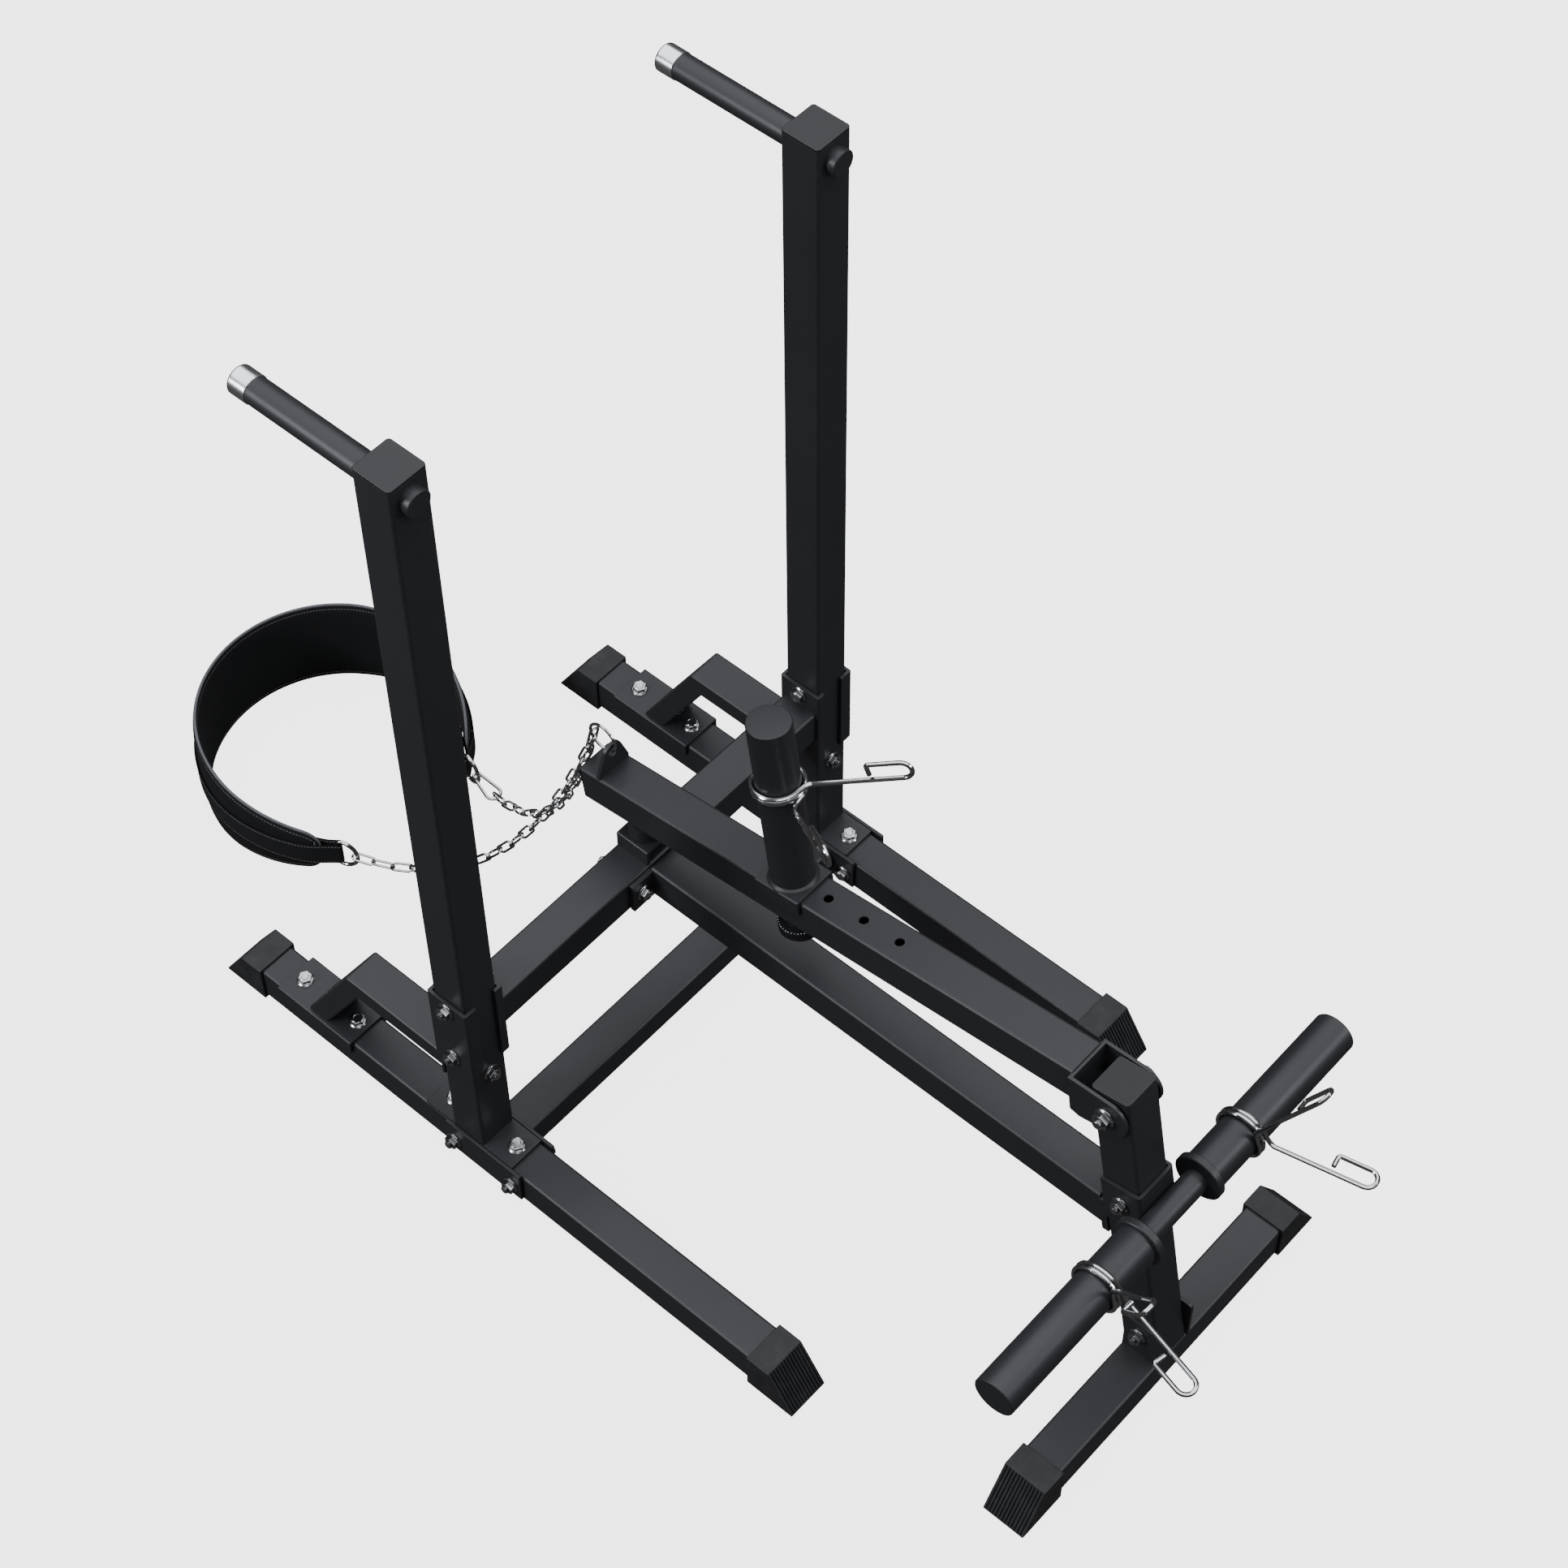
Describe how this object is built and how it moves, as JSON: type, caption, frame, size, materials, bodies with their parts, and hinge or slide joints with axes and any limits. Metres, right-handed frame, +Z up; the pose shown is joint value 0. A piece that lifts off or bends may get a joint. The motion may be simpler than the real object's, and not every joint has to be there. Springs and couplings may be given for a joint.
{
  "type": "plate-loaded dip station",
  "caption": "Floor-standing dip frame with twin uprights and grips, a hinged plate-loaded lever, rear plate storage bar and a padded chain belt.",
  "frame": {"origin": "floor point under the middle of the whole object's box", "axes": "+Z up, +Y from the belt at the front to the storage bar at the rear, +X towards the left upright as seen from behind"},
  "size_m": [0.677, 1.6106, 1.2019],
  "materials": {
    "black_paint": "satin black powder coat",
    "zinc": "bright zinc plate",
    "bright_steel": "polished nickel plate",
    "chrome": "polished chrome plate",
    "rubber": "matt moulded rubber",
    "black_plastic": "matt moulded plastic",
    "nylon": "plain moulded washer",
    "woven": "stitched woven fabric over foam",
    "webbing": "woven webbing with sewn lines"
  },
  "bodies": {
    "frame": {"bar_foot_left": "rubber", "bar_foot_right": "rubber", "bumper": "rubber", "clamp_bolt_lower_left": "zinc", "clamp_bolt_lower_right": "zinc", "clamp_bolt_upper_left": "zinc", "clamp_bolt_upper_right": "zinc", "foot_front_left": "rubber", "foot_front_right": "rubber", "foot_rear_left": "rubber", "foot_rear_right": "rubber", "handle_cap_left": "chrome", "handle_cap_right": "chrome", "lower_crossbar": "black_paint", "outer_clamp_left": "black_paint", "outer_clamp_right": "black_paint", "pivot_bolt": "zinc", "pivot_bush_left": "nylon", "pivot_bush_right": "nylon", "post_base_bolt": "zinc", "post_clamp_bolt": "zinc", "rail_bolt_front_left": "zinc", "rail_bolt_front_right": "zinc", "rail_bolt_rear_left": "zinc", "rail_bolt_rear_right": "zinc", "rail_left": "black_paint", "rail_outer_plate_left": "black_paint", "rail_outer_plate_right": "black_paint", "rail_right": "black_paint", "rear_foot_bar": "black_paint", "rear_post": "black_paint", "rear_post_cap": "black_plastic", "spine": "black_paint", "spine_bolt_left": "zinc", "spine_bolt_right": "zinc", "step_bolt_left": "zinc", "step_bolt_right": "zinc", "step_frame_left": "black_paint", "step_frame_right": "black_paint", "storage_bar": "black_paint", "upper_crossbar": "black_paint", "upright_cap_left": "black_plastic", "upright_cap_right": "black_plastic", "upright_left": "black_paint", "upright_right": "black_paint"},
    "lever": {"lever_arm": "black_paint"},
    "weight_carriage": {"weight_post": "black_paint"},
    "knob": {"saddle_knob": "black_plastic"},
    "post_clip": {"post_clip": "bright_steel"},
    "storage_clip_left": {"storage_clip_left": "bright_steel"},
    "storage_clip_right": {"storage_clip_right": "bright_steel"},
    "belt": {"belt_pad": "woven", "belt_strap": "webbing", "belt_d_ring_left": "bright_steel", "belt_d_ring_right": "bright_steel", "belt_snap_hook": "bright_steel", "chain_left": "bright_steel", "chain_right": "bright_steel", "ear_link": "bright_steel"}
  },
  "joints": [
    {"name": "lever_pivot", "type": "hinge", "parent": "frame", "child": "lever", "pos_m": [0, 0.5792, 0.4745], "axis": [-1, 0, 0], "range_deg": [0, 25]},
    {"name": "belt_hang", "type": "hinge", "parent": "lever", "child": "belt", "pos_m": [0, -0.1508, 0.4382], "axis": [-1, 0, 0], "range_deg": [0, 85]},
    {"name": "carriage_lift", "type": "slide", "parent": "lever", "child": "weight_carriage", "axis": [0, -0.1323, 0.9912], "range_m": [0, 0.05]},
    {"name": "knob_pull", "type": "slide", "parent": "lever", "child": "knob", "axis": [0, 0.1323, -0.9912], "range_m": [0, 0.04]},
    {"name": "post_clip_slide", "type": "slide", "parent": "weight_carriage", "child": "post_clip", "axis": [0, -0.1323, 0.9912], "range_m": [0, 0.09]},
    {"name": "storage_clip_left_slide", "type": "slide", "parent": "frame", "child": "storage_clip_left", "axis": [1, 0, 0], "range_m": [-0.045, 0.18]},
    {"name": "storage_clip_right_slide", "type": "slide", "parent": "frame", "child": "storage_clip_right", "axis": [-1, 0, 0], "range_m": [-0.045, 0.18]}
  ]
}
